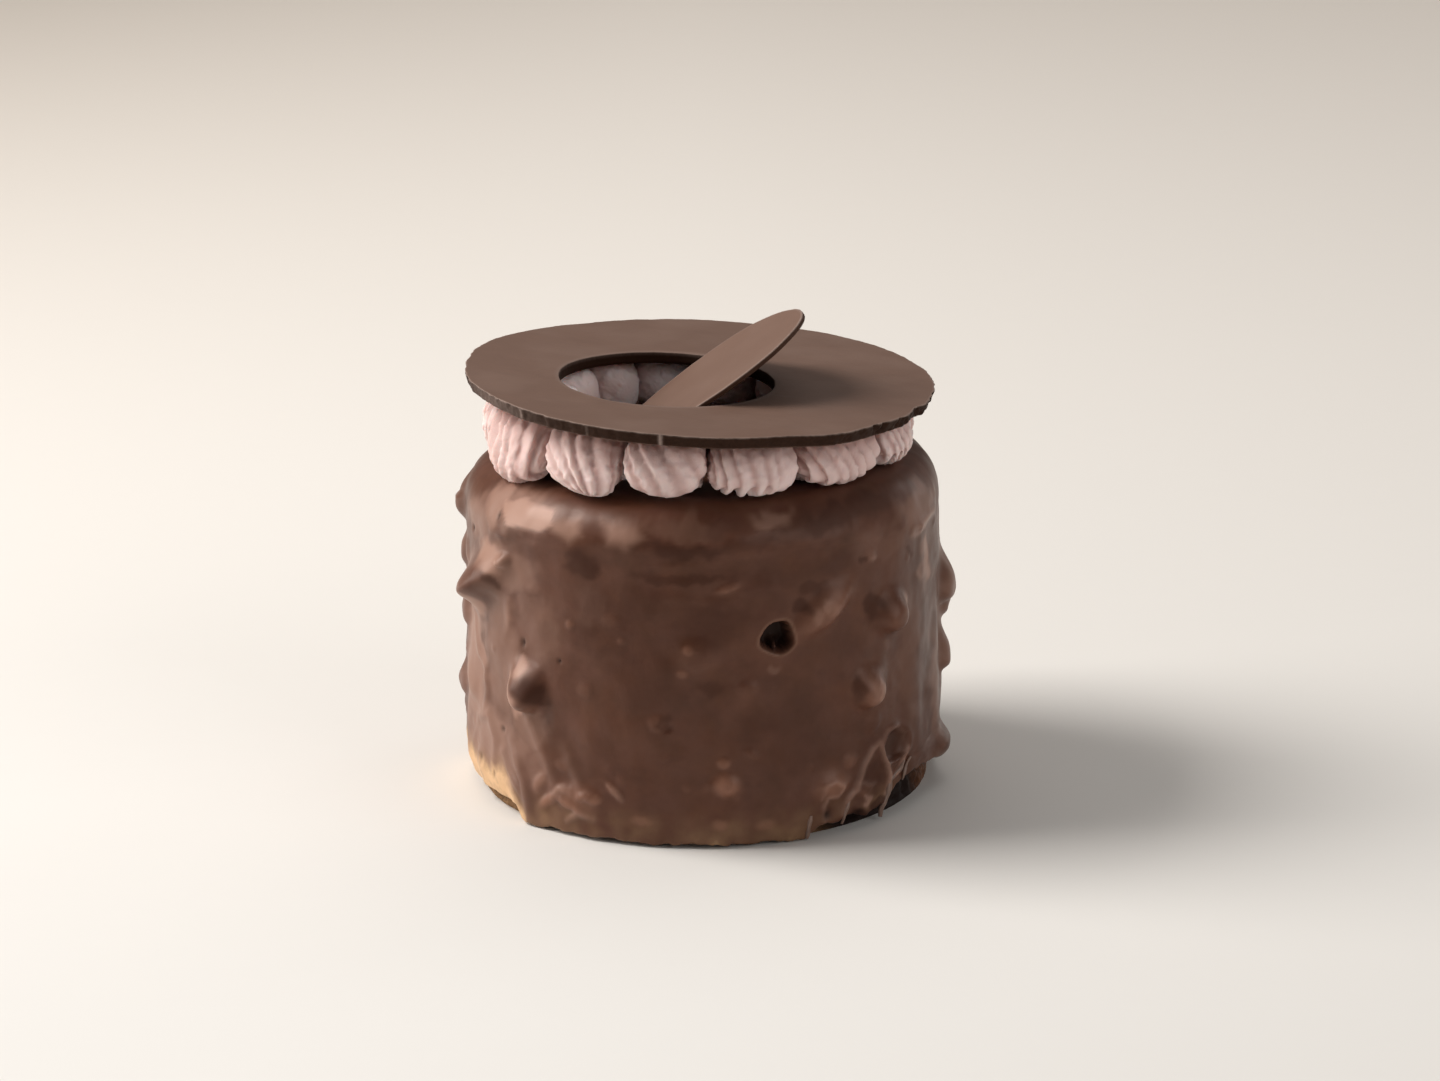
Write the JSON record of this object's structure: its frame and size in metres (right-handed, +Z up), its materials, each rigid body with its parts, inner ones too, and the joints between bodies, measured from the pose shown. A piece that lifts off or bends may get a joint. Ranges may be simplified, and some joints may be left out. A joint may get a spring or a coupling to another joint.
{
  "type": "chocolate hazelnut cake",
  "caption": "Small round cake coated in chocolate over chopped nuts, topped with a ring of piped cream shells, a thin chocolate disc with a round hole, and a leaning plate.",
  "frame": {"origin": "middle of the underside, on the surface that the cake stands on", "axes": "+Z up, -Y towards the side shown in the picture, +X to the right of that side"},
  "size_m": [0.0686, 0.0672, 0.0656],
  "materials": {
    "biscuit": "crumbly, matt",
    "chocolate_coat": "glossy, soft highlights",
    "cream": "soft, satin",
    "chocolate_plate": "satin, dusty bloom"
  },
  "bodies": {
    "root": {"biscuit_base": "biscuit", "cake_body": "chocolate_coat", "cream_shell_01": "cream", "cream_shell_02": "cream", "cream_shell_03": "cream", "cream_shell_04": "cream", "cream_shell_05": "cream", "cream_shell_06": "cream", "cream_shell_07": "cream", "cream_shell_08": "cream", "cream_shell_09": "cream", "cream_shell_10": "cream", "cream_shell_11": "cream", "cream_shell_12": "cream", "cream_shell_13": "cream", "cream_shell_14": "cream", "chocolate_disc": "chocolate_plate", "chocolate_petal": "chocolate_plate"}
  },
  "joints": []
}
